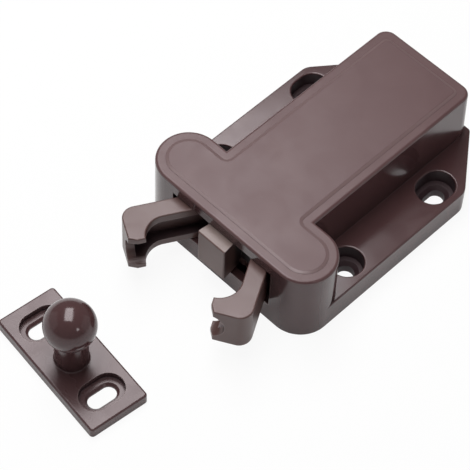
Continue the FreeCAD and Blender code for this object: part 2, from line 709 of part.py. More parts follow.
def make_cam_follower():
    """Bends the latching wire: a leg down into its socket, a run forward and a tip up into the track."""
    body = new_body("cam_follower")
    sketch = new_sketch(body, "WireLine", "YZ_Plane")
    low = "(follower_socket_floor + running_gap)"
    high = f"({SLIDER_BOTTOM} + track_depth - running_gap)"
    points = [
        (FOLLOWER_PIVOT, low),
        (FOLLOWER_PIVOT, f"{FOLLOWER_HEIGHT} - follower_bend"),
        (f"{FOLLOWER_PIVOT} - follower_bend", FOLLOWER_HEIGHT),
        (f"{TRACK_START} + follower_bend", FOLLOWER_HEIGHT),
        (TRACK_START, f"{FOLLOWER_HEIGHT} + follower_bend"),
        (TRACK_START, high),
    ]
    draw_bent_line(sketch, points)
    section = new_sketch(body, "WireSection", offset=low)
    draw_circle(section, "0", FOLLOWER_PIVOT, "follower_wire / 2")
    doc.recompute()
    wire = body.newObject("PartDesign::AdditivePipe", "Wire")
    wire.Profile = section
    wire.Spine = (sketch, [f"Edge{i}" for i in range(1, len(points))])
    wire.Mode = "Frenet"
    doc.recompute()
    return body


def draw_bent_line(sketch, points):
    """Draws an open line that alternates straight runs and tangent bends."""
    spots = [Vector(value(y), value(z), 0) for y, z in points]
    last = None
    for i in range(len(spots) - 1):
        start, end = spots[i], spots[i + 1]
        if i % 2:
            arc, turns_left = tangent_arc(start, end, (start - spots[i - 1]).normalize())
            piece = (sketch.addGeometry(arc), 1 if turns_left else 2, 2 if turns_left else 1)
        else:
            piece = (sketch.addGeometry(Part.LineSegment(start, end)), 1, 2)
        if last:
            kind = "Tangent" if i % 2 else "Coincident"
            sketch.addConstraint(Sketcher.Constraint(kind, last[0], last[2], piece[0], piece[1]))
        constrain(sketch, "DistanceX", (piece[0], piece[1]), points[i][0])
        constrain(sketch, "DistanceY", (piece[0], piece[1]), points[i][1])
        last = piece
    constrain(sketch, "DistanceX", (last[0], last[2]), points[-1][0])
    constrain(sketch, "DistanceY", (last[0], last[2]), points[-1][1])


def make_strike():
    """Builds the strike about its ball's axis: plate, two sunk slots across it, neck and ball."""
    body = doc.addObject("PartDesign::Body", "strike")
    body.Label = "strike"
    half_length, half_width = "strike_length / 2", "strike_width / 2"
    sketch = new_sketch(body, "PlatePlan")
    draw_rectangle(sketch, f"-{half_length}", f"-{half_width}", half_length, half_width)
    pad(body, "Plate", sketch, "strike_thickness")
    corner = (value(half_length), value(half_width))

    def plate_corner(edge):
        return upright_at(edge, *corner) or upright_at(edge, corner[0], -corner[1])

    round_edges(body, "PlateCorners", "strike_corner_radius", plate_corner)
    top = value("strike_thickness")
    round_edges(body, "PlateEdge", "strike_edge_radius", lambda edge: level(edge, top))
    seat_length = "strike_slot_length + strike_counterbore_width - strike_slot_width"
    for name, floor, depth, width, length in (
        ("Seats", "strike_thickness", "strike_thickness - strike_counterbore_floor",
         "strike_counterbore_width", seat_length),
        ("Slots", "strike_counterbore_floor", "strike_counterbore_floor",
         "strike_slot_width", "strike_slot_length"),
    ):
        sketch = new_sketch(body, f"{name}Plan", offset=floor)
        for side in ("-", ""):
            centre = f"{side}({half_length} - strike_slot_inset)"
            draw_outline(sketch, slot_corners(centre, "0", width, length))
        pocket(body, f"Strike{name}", sketch, depth)
    floor = value("strike_counterbore_floor")
    centre = value(f"{half_length} - strike_slot_inset")
    within_seat = value("strike_counterbore_width / 2") - NEAR

    def slot_rim(edge):
        return level(edge, floor) and reach_from(edge, centre) < within_seat

    bevel_edges(body, "SlotChamfers", slot_rim, "strike_slot_chamfer")

    sketch = new_sketch(body, "BallProfile", "XZ_Plane")
    draw_ball_profile(sketch)
    ball = body.newObject("PartDesign::Revolution", "Ball")
    ball.Profile = sketch
    ball.ReferenceAxis = (sketch, ["V_Axis"])
    ball.Angle = 360
    doc.recompute()
    foot = value("neck_diameter / 2")

    def neck_foot(edge):
        return level(edge, top) and abs(edge.BoundBox.XMax - foot) < NEAR

    round_edges(body, "NeckFoot", "neck_foot_radius", neck_foot)
    body.setExpression("Placement.Base.x", bind("strike_across"))
    body.setExpression("Placement.Base.y", bind(f"{HEAD_LINE} - strike_ahead"))
    body.setExpression("Placement.Rotation.Yaw", bind("strike_turn * 1 deg"))
    return body


def draw_ball_profile(sketch):
    """Draws half of the neck and ball: an upright line, the ball's arc and the neck's outline."""
    radius, neck = "(ball_diameter / 2)", "(neck_diameter / 2)"
    centre = Vector(0, value("ball_height"), 0)
    joint = f"(ball_height - sqrt({radius}^2 - {neck}^2))"
    crown = f"(ball_height + {radius})"
    spots = [
        ("0", "strike_counterbore_floor"), (neck, "strike_counterbore_floor"), (neck, joint), ("0", crown),
    ]
    points = [Vector(value(x), value(z), 0) for x, z in spots]
    start_angle = math.atan2(points[2].y - centre.y, points[2].x - centre.x)
    circle = Part.Circle(centre, Vector(0, 0, 1), value(radius))
    pieces = [
        sketch.addGeometry(Part.LineSegment(points[0], points[1])),
        sketch.addGeometry(Part.LineSegment(points[1], points[2])),
        sketch.addGeometry(Part.ArcOfCircle(circle, start_angle, math.pi / 2)),
        sketch.addGeometry(Part.LineSegment(points[3], points[0])),
    ]
    for i, piece in enumerate(pieces):
        sketch.addConstraint(Sketcher.Constraint("Coincident", pieces[i - 1], 2, piece, 1))
        constrain(sketch, "DistanceX", (piece, 1), spots[i][0])
        constrain(sketch, "DistanceY", (piece, 1), spots[i][1])
    constrain(sketch, "Radius", (pieces[2],), radius)


jaw_right = make_jaw()
jaw_pin_right = make_jaw_pin()
pieces = [
    make_housing(), make_back_cover(), make_slider(),
    mirrored(jaw_right, "jaw_left"), jaw_right,
    mirrored(jaw_pin_right, "jaw_pin_left"), jaw_pin_right,
    make_return_spring(), make_cam_follower(), make_strike(),
]
doc.recompute()

for item in doc.Objects:
    if {"Invalid", "Error"} & set(item.State):
        raise RuntimeError(f"{item.Name} failed: {item.State}")
for piece in pieces:
    if piece.Shape.isNull() or not piece.Shape.isValid():
        raise RuntimeError(f"{piece.Label} has no valid shape")

os.makedirs("parts", exist_ok=True)
for piece in pieces:
    piece.Shape.exportStep(f"parts/{piece.Label}.step")
    print(piece.Label, len(piece.Shape.Solids), round(piece.Shape.Volume, 1), piece.Shape.BoundBox)
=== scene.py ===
"""Dresses the cupboard catch latch: moulded plastic, steel wire and pins, pale studio floor and light.

Metres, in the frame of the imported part: +Z up, the jaws open towards -Y.
"""

import math
from collections import namedtuple

import bpy
from mathutils import Matrix, Vector


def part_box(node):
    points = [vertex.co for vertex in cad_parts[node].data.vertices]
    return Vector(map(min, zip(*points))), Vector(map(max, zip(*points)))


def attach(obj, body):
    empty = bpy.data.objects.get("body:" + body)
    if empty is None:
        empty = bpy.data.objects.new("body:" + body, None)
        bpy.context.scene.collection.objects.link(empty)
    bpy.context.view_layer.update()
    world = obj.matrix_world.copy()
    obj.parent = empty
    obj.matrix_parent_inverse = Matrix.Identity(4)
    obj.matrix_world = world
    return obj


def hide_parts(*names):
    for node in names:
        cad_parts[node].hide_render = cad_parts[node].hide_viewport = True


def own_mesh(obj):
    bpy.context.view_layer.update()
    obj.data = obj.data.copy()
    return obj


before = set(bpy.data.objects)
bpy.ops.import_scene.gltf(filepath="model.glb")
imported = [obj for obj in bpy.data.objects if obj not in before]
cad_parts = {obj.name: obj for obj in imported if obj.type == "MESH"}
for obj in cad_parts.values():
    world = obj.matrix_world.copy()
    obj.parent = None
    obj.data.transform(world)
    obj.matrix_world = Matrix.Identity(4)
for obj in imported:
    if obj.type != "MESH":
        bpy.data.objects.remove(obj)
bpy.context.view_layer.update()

MM = 0.001
UP = Vector((0.0, 0.0, 1.0))

# The photograph's viewpoint
CAMERA_AZIMUTH = math.radians(42.467)
CAMERA_ELEVATION = math.radians(55.205)
CAMERA_ROLL = math.radians(3.114)
CAMERA_DISTANCE = 492.2 * MM
CAMERA_TARGET = Vector((-2.205, -29.005, 8.0)) * MM
CAMERA_LENS = 163.49
CAMERA_SENSOR = 36.0
CAMERA_CLIP = 10.0 * MM
VIEW_RIGHT = Vector((math.cos(CAMERA_AZIMUTH), math.sin(CAMERA_AZIMUTH), 0.0))
VIEW_AWAY = Vector((-math.sin(CAMERA_AZIMUTH), math.cos(CAMERA_AZIMUTH), 0.0))

# Plastic tones, linear: the plain one, and the paler one of its cloudy patches
GLOSS_TONES = ((0.066, 0.030, 0.031), (0.096, 0.049, 0.049))
# Satin top: partly the satin finish's own paler tone, partly painted light
SATIN_LIT_TONES = ((0.092, 0.043, 0.044), (0.122, 0.066, 0.065))
JAW_TONES = ((0.092, 0.047, 0.041), (0.120, 0.066, 0.060))
SLIDER_TONES = ((0.128, 0.073, 0.063), (0.155, 0.093, 0.083))
# Painted light on the nose top
NOSE_TOP_LIT_TONES = ((0.190, 0.140, 0.125), (0.215, 0.162, 0.145))
# Painted shade on the slider inside the mouth
SHADED_REAR_TONES = ((0.012, 0.007, 0.008), (0.012, 0.007, 0.008))
COVER_TONES = ((0.050, 0.024, 0.025), (0.066, 0.030, 0.031))
# Painted light on the slope round the raised panel
PANEL_SLOPE_LIT_BROWN = (0.165, 0.108, 0.108)
# Paler outer edges: partly rubbed wear, partly painted highlight
RUBBED_HIGHLIGHT_BROWN = (0.210, 0.150, 0.148)
# Painted shade in deep seats, holes and channels
RECESS_SHADE_BROWN = (0.034, 0.016, 0.019)

# Other tones, linear
STEEL_TONE = (0.52, 0.52, 0.53)
STEEL_DARK = (0.30, 0.30, 0.31)
GLOSS_TINT = (1.0, 0.93, 0.95)
WHITE = (1.0, 1.0, 1.0)
OPAQUE = 1.0

# Roughness, from the clear patches to the hazy ones
HOUSING_ROUGH = (0.12, 0.18)
SATIN_ROUGH = (0.34, 0.40)
COVER_ROUGH = (0.40, 0.52)
SLIDER_ROUGH = (0.32, 0.38)
SHADED_REAR_ROUGH = (0.30, 0.40)
JAW_ROUGH = (0.28, 0.36)
STRIKE_ROUGH = (0.23, 0.30)
BALL_ROUGH = (0.13, 0.17)
STEEL_ROUGH = (0.22, 0.40)
RECESS_ROUGH = 0.55
PLASTIC_INDEX = 1.54

# Depth of the grain
HOUSING_GRAIN = 0.001 * MM
COVER_GRAIN = 0.004 * MM
SLIDER_GRAIN = 0.003 * MM
JAW_GRAIN = 0.003 * MM
STRIKE_GRAIN = 0.002 * MM
STEEL_GRAIN = 0.002 * MM

# Grain of plastic and steel: noise scale per metre, share of ripple, and how round edges look
PLASTIC_GRAIN_SCALE = 3200.0
PLASTIC_RIPPLE = 0.3
PLASTIC_EDGE = 0.15 * MM
STEEL_GRAIN_SCALE = 6000.0
STEEL_RIPPLE = 0.1
STEEL_EDGE = 0.05 * MM
GRAIN_DETAIL = 2.0
GRAIN_ROUGHNESS = 0.6
GRAIN_STRENGTH = 0.6
RIPPLE_SCALE = 240.0
RIPPLE_DETAIL = 1.0
EDGE_SAMPLES = 4

# Haze: noise scale per metre, the part of the noise that is spread out, and how far it pales
TONE_HAZE_SCALE = 90.0
TONE_HAZE_SHARE = 0.35
POLISH_HAZE_SCALE = 130.0
HAZE_SPREAD = (0.35, 0.65)
HAZE_DETAIL = 3.0
HAZE_DISTORTION = 0.6
PIN_HAZE_SCALE = 900.0
FOLLOWER_HAZE_SCALE = 700.0
SPRING_HAZE_SCALE = 800.0

# Rubbed edges, partly wear and partly painted highlight: how open the inside must look to count as flat, and
# as a full edge
EDGE_CLEAR = 0.92
EDGE_FULL = 0.55
RUB_HIGHLIGHT_REACH = 0.4 * MM
RUB_HIGHLIGHT_PATCH_SCALE = 500.0
RUB_HIGHLIGHT_PATCH_DETAIL = 3.0

# Recesses, darkened with painted shade: how open a place is where the painted shade and dullness start, and
# where they are full
SEAT_OPENNESS = (0.80, 0.52)
SLOT_OPENNESS = (0.50, 0.30)
CHANNEL_OPENNESS = (0.80, 0.45)
RECESS_REACH = 10.0 * MM
OPENNESS_SAMPLES = 8

# Levels where a moulding's finish, painted light and painted shade change
HOUSING_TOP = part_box("housing")[1].z
SATIN_FROM = HOUSING_TOP - 1.3 * MM
SATIN_FULL = HOUSING_TOP - 0.7 * MM
PANEL_SLOPE_FOOT = HOUSING_TOP - 0.27 * MM
PANEL_SLOPE_HEAD = HOUSING_TOP - 0.01 * MM
LEVEL_BLUR = 0.02 * MM
SEAT_RIM = 7.05 * MM
NOSE_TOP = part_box("slider")[1].z
BALL_POLISH_FROM = 4.0 * MM
BALL_POLISH_FULL = 9.0 * MM

# Where the slider enters the mouth, and is darkened with painted shade from there on
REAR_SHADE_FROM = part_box("housing")[0].y + 0.6 * MM
REAR_SHADE_FULL = REAR_SHADE_FROM + 1.2 * MM

# A part of a moulding beyond a place on an axis, with its own tones and roughness
Zone = namedtuple("Zone", "axis start full tones rough")

# One cell of the node editor's grid
CELL_WIDTH = 220
CELL_HEIGHT = 200


def set_down(node, cell):
    """Sets a node down in a cell of the editor's grid, counted in columns and rows."""
    column, row = cell
    node.location = (column * CELL_WIDTH, row * CELL_HEIGHT)


def add_node(tree, kind, cell, **settings):
    """Adds a node in a cell of the grid, and sets its properties and its unlinked inputs."""
    node = tree.nodes.new(kind)
    set_down(node, cell)
    for name, setting in settings.items():
        if hasattr(node, name):
            setattr(node, name, setting)
        else:
            node.inputs[name.replace("_", " ")].default_value = setting
    return node


def new_group(name, inputs, outputs):
    """Starts a shader node group with number inputs and outputs."""
    group = bpy.data.node_groups.new(name, "ShaderNodeTree")
    for label, start in inputs:
        socket = group.interface.new_socket(label, in_out="INPUT", socket_type="NodeSocketFloat")
        socket.default_value = start
    for label in outputs:
        group.interface.new_socket(label, in_out="OUTPUT", socket_type="NodeSocketFloat")
    entry = add_node(group, "NodeGroupInput", (-4, 0))
    leave = add_node(group, "NodeGroupOutput", (2, 0))
    return group, entry, leave


def build_mould_grain():
    """Fine spark-eroded texture of a moulding tool, with a slower ripple under it."""
    inputs = [("Scale", PLASTIC_GRAIN_SCALE), ("Ripple", PLASTIC_RIPPLE)]
    group, entry, leave = new_group("mould_grain", inputs, ["Height"])
    link = group.links.new
    place = add_node(group, "ShaderNodeTexCoord", (-4, 2))
    grain = add_node(group, "ShaderNodeTexNoise", (-2, 1), Detail=GRAIN_DETAIL, Roughness=GRAIN_ROUGHNESS)
    ripple = add_node(group, "ShaderNodeTexNoise", (-2, -1), Scale=RIPPLE_SCALE, Detail=RIPPLE_DETAIL)
    blend = add_node(group, "ShaderNodeMix", (0, 0), data_type="FLOAT")
    link(place.outputs["Object"], grain.inputs["Vector"])
    link(place.outputs["Object"], ripple.inputs["Vector"])
    link(entry.outputs["Scale"], grain.inputs["Scale"])
    link(entry.outputs["Ripple"], blend.inputs["Factor"])
    link(grain.outputs["Fac"], blend.inputs["A"])
    link(ripple.outputs["Fac"], blend.inputs["B"])
    link(blend.outputs["Result"], leave.inputs["Height"])
    return group


def build_edge_rub_highlight():
    """Marks outer edges that hands and parts wear paler, in broken patches, and that carry a painted
    highlight.
    """
    inputs = [("Reach", RUB_HIGHLIGHT_REACH), ("Breakup", RUB_HIGHLIGHT_PATCH_SCALE)]
    group, entry, leave = new_group("edge_rub_highlight", inputs, ["Mask"])
    link = group.links.new
    nearness = add_node(group, "ShaderNodeAmbientOcclusion", (-2, 1), samples=OPENNESS_SAMPLES,
                        inside=True, only_local=True)
    edge = add_node(group, "ShaderNodeMapRange", (-1, 1), From_Min=EDGE_CLEAR, From_Max=EDGE_FULL)
    place = add_node(group, "ShaderNodeTexCoord", (-4, 2))
    patch = add_node(group, "ShaderNodeTexNoise", (-1, -1), Detail=RUB_HIGHLIGHT_PATCH_DETAIL)
    worn = add_node(group, "ShaderNodeMath", (0, 0), operation="MULTIPLY")
    link(entry.outputs["Reach"], nearness.inputs["Distance"])
    link(nearness.outputs["AO"], edge.inputs["Value"])
    link(place.outputs["Object"], patch.inputs["Vector"])
    link(entry.outputs["Breakup"], patch.inputs["Scale"])
    link(edge.outputs["Result"], worn.inputs[0])
    link(patch.outputs["Fac"], worn.inputs[1])
    link(worn.outputs["Value"], leave.inputs["Mask"])
    return group


def build_recess_shade():
    """Marks deep seats, holes and channels, for painted shade that darkens the plastic there and a duller
    finish.
    """
    clear, full = SEAT_OPENNESS
    inputs = [("Reach", RECESS_REACH), ("Clear", clear), ("Full", full)]
    group, entry, leave = new_group("recess_shade", inputs, ["Mask"])
    link = group.links.new
    openness = add_node(group, "ShaderNodeAmbientOcclusion", (-2, 0), samples=OPENNESS_SAMPLES,
                        only_local=True)
    deep = add_node(group, "ShaderNodeMapRange", (0, 0))
    link(entry.outputs["Reach"], openness.inputs["Distance"])
    link(entry.outputs["Clear"], deep.inputs["From Min"])
    link(entry.outputs["Full"], deep.inputs["From Max"])
    link(openness.outputs["AO"], deep.inputs["Value"])
    link(deep.outputs["Result"], leave.inputs["Mask"])
    return group


def build_flow_haze():
    """Slow cloudiness that plastic shows where it flowed in the tool, and that fingers leave."""
    inputs = [("Scale", TONE_HAZE_SCALE), ("Low", 0.0), ("High", 1.0)]
    group, entry, leave = new_group("flow_haze", inputs, ["Value"])
    link = group.links.new
    place = add_node(group, "ShaderNodeTexCoord", (-4, 2))
    cloud = add_node(group, "ShaderNodeTexNoise", (-2, 0), Detail=HAZE_DETAIL, Distortion=HAZE_DISTORTION)
    low, high = HAZE_SPREAD
    spread = add_node(group, "ShaderNodeMapRange", (0, 0), From_Min=low, From_Max=high)
    link(place.outputs["Object"], cloud.inputs["Vector"])
    link(entry.outputs["Scale"], cloud.inputs["Scale"])
    link(cloud.outputs["Fac"], spread.inputs["Value"])
    link(entry.outputs["Low"], spread.inputs["To Min"])
    link(entry.outputs["High"], spread.inputs["To Max"])
    link(spread.outputs["Result"], leave.inputs["Value"])
    return group


MOULD_GRAIN = build_mould_grain()
EDGE_RUB_HIGHLIGHT = build_edge_rub_highlight()
FLOW_HAZE = build_flow_haze()
RECESS_SHADE = build_recess_shade()


def place_group(tree, group, cell, **inputs):
    """Places a shared node group in a material, with that material's own values."""
    return add_node(tree, "ShaderNodeGroup", cell, node_tree=group, **inputs)


def add_haze(tree, cell, scale, low, high):
    """Places the flow haze and gives its value, which wanders between two numbers."""
    return place_group(tree, FLOW_HAZE, cell, Scale=scale, Low=low, High=high).outputs["Value"]


def new_material(name):
    """Starts a material and gives its tree and its Principled shader."""
    material = bpy.data.materials.new(name)
    material.use_nodes = True
    tree = material.node_tree
    return material, tree, tree.nodes["Principled BSDF"]


def mix_tones(tree, cell, first, second, mask):
    """Mixes two tones by a mask. A tone is a colour or another node's output."""
    node = add_node(tree, "ShaderNodeMix", cell, data_type="RGBA")
    tree.links.new(mask, node.inputs["Factor"])
    for label, tone in (("A", first), ("B", second)):
        socket = next(s for s in node.inputs if s.name == label and s.type == "RGBA")
        if isinstance(tone, tuple):
            socket.default_value = (*tone, OPAQUE)
        else:
            tree.links.new(tone, socket)
    return next(s for s in node.outputs if s.type == "RGBA")


def mix_values(tree, cell, first, second, mask):
    """Mixes two values by a mask. A value is a number or another node's output."""
    node = add_node(tree, "ShaderNodeMix", cell, data_type="FLOAT")
    tree.links.new(mask, node.inputs["Factor"])
    for label, value in (("A", first), ("B", second)):
        if isinstance(value, float):
            node.inputs[label].default_value = value
        else:
            tree.links.new(value, node.inputs[label])
    return node.outputs["Result"]


def take_away(tree, cell, mask, other):
    """Takes one mask away from another."""
    node = add_node(tree, "ShaderNodeMath", cell, operation="SUBTRACT", use_clamp=True)
    tree.links.new(mask, node.inputs[0])
    tree.links.new(other, node.inputs[1])
    return node.outputs["Value"]


def beyond_level(tree, cell, axis, start, full):
    """Masks what lies beyond a level along an axis, with a soft step between two places."""
    column, row = cell
    surface = add_node(tree, "ShaderNodeTexCoord", cell)
    split = add_node(tree, "ShaderNodeSeparateXYZ", (column + 1, row))
    step = add_node(tree, "ShaderNodeMapRange", (column + 2, row), From_Min=start, From_Max=full)
    tree.links.new(surface.outputs["Object"], split.inputs["Vector"])
    tree.links.new(split.outputs[axis], step.inputs["Value"])
    return step.outputs["Result"]


def paint_slope_light(tree, tone):
    """Pales the narrow slope round the raised panel with painted light, so that its shading reads softer."""
    above_foot = beyond_level(tree, (-10, 5), "Z", PANEL_SLOPE_FOOT - LEVEL_BLUR, PANEL_SLOPE_FOOT)
    above_head = beyond_level(tree, (-10, 4), "Z", PANEL_SLOPE_HEAD - LEVEL_BLUR, PANEL_SLOPE_HEAD)
    slope = take_away(tree, (-7, 5), above_foot, above_head)
    return mix_tones(tree, (-3, 4), tone, PANEL_SLOPE_LIT_BROWN, slope)


def find_recess(tree, openness, below):
    """Masks the recesses of a moulding for painted shade, all of them or only those that lie below a level.
    """
    clear, full = openness
    recess = place_group(tree, RECESS_SHADE, (-4, -3), Reach=RECESS_REACH, Clear=clear, Full=full)
    if below is None:
        return recess.outputs["Mask"]
    above = beyond_level(tree, (-10, -4), "Z", below - LEVEL_BLUR, below)
    return take_away(tree, (-3, -3), recess.outputs["Mask"], above)


def add_grain(tree, shader, scale, depth, ripple, edge):
    """Gives a shader its fine grain, with sharp edges seen slightly rounded."""
    grain = place_group(tree, MOULD_GRAIN, (-4, -5), Scale=scale, Ripple=ripple)
    bump = add_node(tree, "ShaderNodeBump", (-2, -5), Distance=depth, Strength=GRAIN_STRENGTH)
    rounded = add_node(tree, "ShaderNodeBevel", (-4, -6), samples=EDGE_SAMPLES, Radius=edge)
    tree.links.new(grain.outputs["Height"], bump.inputs["Height"])
    tree.links.new(rounded.outputs["Normal"], bump.inputs["Normal"])
    tree.links.new(bump.outputs["Normal"], shader.inputs["Normal"])


def make_plastic(name, tones, rough, grain, openness, zones=(), seats_below=None, sloped_panel=False):
    """Moulded plastic: cloudy tone, rubbed edges with a painted highlight, painted shade and dullness in
    recesses, fine grain, and zones of another finish, some of them with painted light and shade.
    """
    material, tree, shader = new_material(name)
    shader.inputs["Specular Tint"].default_value = (*GLOSS_TINT, OPAQUE)
    shader.inputs["IOR"].default_value = PLASTIC_INDEX
    haze = add_haze(tree, (-6, 2), TONE_HAZE_SCALE, 0.0, TONE_HAZE_SHARE)
    tone = mix_tones(tree, (-5, 2), *tones, haze)
    roughness = add_haze(tree, (-6, 0), POLISH_HAZE_SCALE, *rough)
    for row, zone in enumerate(zones):
        mask = beyond_level(tree, (-10, -1 - row), zone.axis, zone.start, zone.full)
        zone_tone = mix_tones(tree, (-5, 3 + row), *zone.tones, haze)
        tone = mix_tones(tree, (-4, 3 + row), tone, zone_tone, mask)
        zone_rough = add_haze(tree, (-6, -1 - row), POLISH_HAZE_SCALE, *zone.rough)
        roughness = mix_values(tree, (-5, -1 - row), roughness, zone_rough, mask)
    if sloped_panel:
        # Painted light on the slope round the raised panel
        tone = paint_slope_light(tree, tone)
    rub_and_highlight = place_group(tree, EDGE_RUB_HIGHLIGHT, (-4, 1), Reach=RUB_HIGHLIGHT_REACH, Breakup=RUB_HIGHLIGHT_PATCH_SCALE)
    # Paler outer edges: partly rubbed wear, partly painted highlight
    tone = mix_tones(tree, (-2, 2), tone, RUBBED_HIGHLIGHT_BROWN, rub_and_highlight.outputs["Mask"])
    recess = find_recess(tree, openness, seats_below)
    # Painted shade darkens the recesses in the base colour; they are also rougher
    tone = mix_tones(tree, (-1, 2), tone, RECESS_SHADE_BROWN, recess)
    roughness = mix_values(tree, (-1, 0), roughness, RECESS_ROUGH, recess)
    tree.links.new(tone, shader.inputs["Base Color"])
    tree.links.new(roughness, shader.inputs["Roughness"])
    add_grain(tree, shader, PLASTIC_GRAIN_SCALE, grain, PLASTIC_RIPPLE, PLASTIC_EDGE)
    return material


def make_steel(name, haze_scale):
    """Drawn or ground steel, finely mottled in tone and polish."""
    material, tree, shader = new_material(name)
    shader.inputs["Metallic"].default_value = 1.0
    haze = add_haze(tree, (-4, 2), haze_scale, 0.0, 1.0)
    tone = mix_tones(tree, (-2, 2), STEEL_TONE, STEEL_DARK, haze)
    roughness = add_haze(tree, (-4, 0), haze_scale, *STEEL_ROUGH)
    tree.links.new(tone, shader.inputs["Base Color"])
    tree.links.new(roughness, shader.inputs["Roughness"])
    add_grain(tree, shader, STEEL_GRAIN_SCALE, STEEL_GRAIN, STEEL_RIPPLE, STEEL_EDGE)
    return material


def wear(node, material):
    """Gives a CAD node its finish."""
    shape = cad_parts[node]
    shape.data.materials.clear()
    shape.data.materials.append(material)


def dress_nodes():
    """Makes the plastics and steels and gives them to the CAD nodes that stay in sight."""
    # The satin top's paler tones are partly the satin finish and partly painted light from overhead
    satin_lit_top = Zone("Z", SATIN_FROM, SATIN_FULL, SATIN_LIT_TONES, SATIN_ROUGH)
    wear("housing", make_plastic(
        "housing_brown", GLOSS_TONES, HOUSING_ROUGH, HOUSING_GRAIN, SEAT_OPENNESS,
        zones=[satin_lit_top], seats_below=SEAT_RIM, sloped_panel=True,
    ))
    wear("back_cover", make_plastic("cover_brown", COVER_TONES, COVER_ROUGH, COVER_GRAIN, SLOT_OPENNESS))
    # The nose top is paler with painted light, where the housing's front shades it
    lit_nose_top = Zone("Z", NOSE_TOP - 2 * LEVEL_BLUR, NOSE_TOP - LEVEL_BLUR, NOSE_TOP_LIT_TONES, SLIDER_ROUGH)
    # The slider's part inside the mouth is darkened with painted shade
    shaded_rear = Zone("Y", REAR_SHADE_FROM, REAR_SHADE_FULL, SHADED_REAR_TONES, SHADED_REAR_ROUGH)
    wear("slider", make_plastic(
        "slider_brown", SLIDER_TONES, SLIDER_ROUGH, SLIDER_GRAIN, SLOT_OPENNESS,
        zones=[lit_nose_top, shaded_rear],
    ))
    jaw_brown = make_plastic("jaw_brown", JAW_TONES, JAW_ROUGH, JAW_GRAIN, CHANNEL_OPENNESS)
    wear("jaw_left", jaw_brown)
    wear("jaw_right", jaw_brown)
    polished_ball = Zone("Z", BALL_POLISH_FROM, BALL_POLISH_FULL, GLOSS_TONES, BALL_ROUGH)
    wear("strike", make_plastic(
        "strike_brown", GLOSS_TONES, STRIKE_ROUGH, STRIKE_GRAIN, SLOT_OPENNESS, zones=[polished_ball],
    ))
    pin_steel = make_steel("pin_steel", PIN_HAZE_SCALE)
    wear("jaw_pin_left", pin_steel)
    wear("jaw_pin_right", pin_steel)
    wear("cam_follower", make_steel("follower_steel", FOLLOWER_HAZE_SCALE))


# The return spring
SPRING_WIRE = 0.9 * MM
SPRING_TURNS = 13
SPRING_DEAD_TURNS = 1.5
SPRING_STEPS_ROUND = 40
SPRING_SIDES = 12
SPRING_WAY = Vector((0.0, 1.0, 0.0))


def spring_rise(turn, length):
    """Gives how far along the spring its wire is after some turns: closed coils at the ends, open between."""
    closed = SPRING_DEAD_TURNS * SPRING_WIRE
    pitch = (length - 2 * closed) / (SPRING_TURNS - 2 * SPRING_DEAD_TURNS)
    if turn < SPRING_DEAD_TURNS:
        return turn * SPRING_WIRE
    if turn > SPRING_TURNS - SPRING_DEAD_TURNS:
        return length - (SPRING_TURNS - turn) * SPRING_WIRE
    return closed + (turn - SPRING_DEAD_TURNS) * pitch


def make_spring():
    """Winds the return spring from round wire, its end coils closed, and sets it on the base in place of the
    CAD spring.
    """
    low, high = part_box("return_spring")
    axis_x, axis_z = (low.x + high.x) / 2, (low.z + high.z) / 2
    mean = (high.x - low.x - SPRING_WIRE) / 2
    start, length = low.y + SPRING_WIRE / 2, high.y - low.y - SPRING_WIRE
    rings = SPRING_TURNS * SPRING_STEPS_ROUND + 1
    corners = []
    for ring in range(rings):
        turn = ring / SPRING_STEPS_ROUND
        around = 2 * math.pi * turn
        outward = Vector((math.cos(around), 0.0, math.sin(around)))
        centre = Vector((axis_x, start + spring_rise(turn, length), axis_z)) + outward * mean
        for side in range(SPRING_SIDES):
            angle = 2 * math.pi * side / SPRING_SIDES
            spoke = outward * math.cos(angle) + SPRING_WAY * math.sin(angle)
            corners.append(centre + spoke * SPRING_WIRE / 2)
    last = len(corners) - 1
    faces = [list(range(SPRING_SIDES)), list(range(last, last - SPRING_SIDES, -1))]
    for ring in range(rings - 1):
        here, ahead = ring * SPRING_SIDES, (ring + 1) * SPRING_SIDES
        for side in range(SPRING_SIDES):
            beside = (side + 1) % SPRING_SIDES
            faces.append((here + beside, here + side, ahead + side, ahead + beside))
    mesh = bpy.data.meshes.new("spring_coil")
    mesh.from_pydata(corners, [], faces)
    mesh.shade_smooth()
    mesh.materials.append(make_steel("spring_steel", SPRING_HAZE_SCALE))
    coil = bpy.data.objects.new("spring_coil", mesh)
    bpy.context.scene.collection.objects.link(coil)
    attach(coil, "base")
    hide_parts("return_spring")
    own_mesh(coil)


# The floor, and how much of its white shows to the eye and in gloss
FLOOR_SIZE = 6.0
FLOOR_DROP = 0.02 * MM
FLOOR_TONE = (0.93, 0.93, 0.93)
FLOOR_ROUGH = 0.9
FLOOR_GLOSS = 0.0
FLOOR_WHITE = 1.0
FLOOR_GLOW = 0.92
FLOOR_GLOW_IN_GLOSS = 0.42


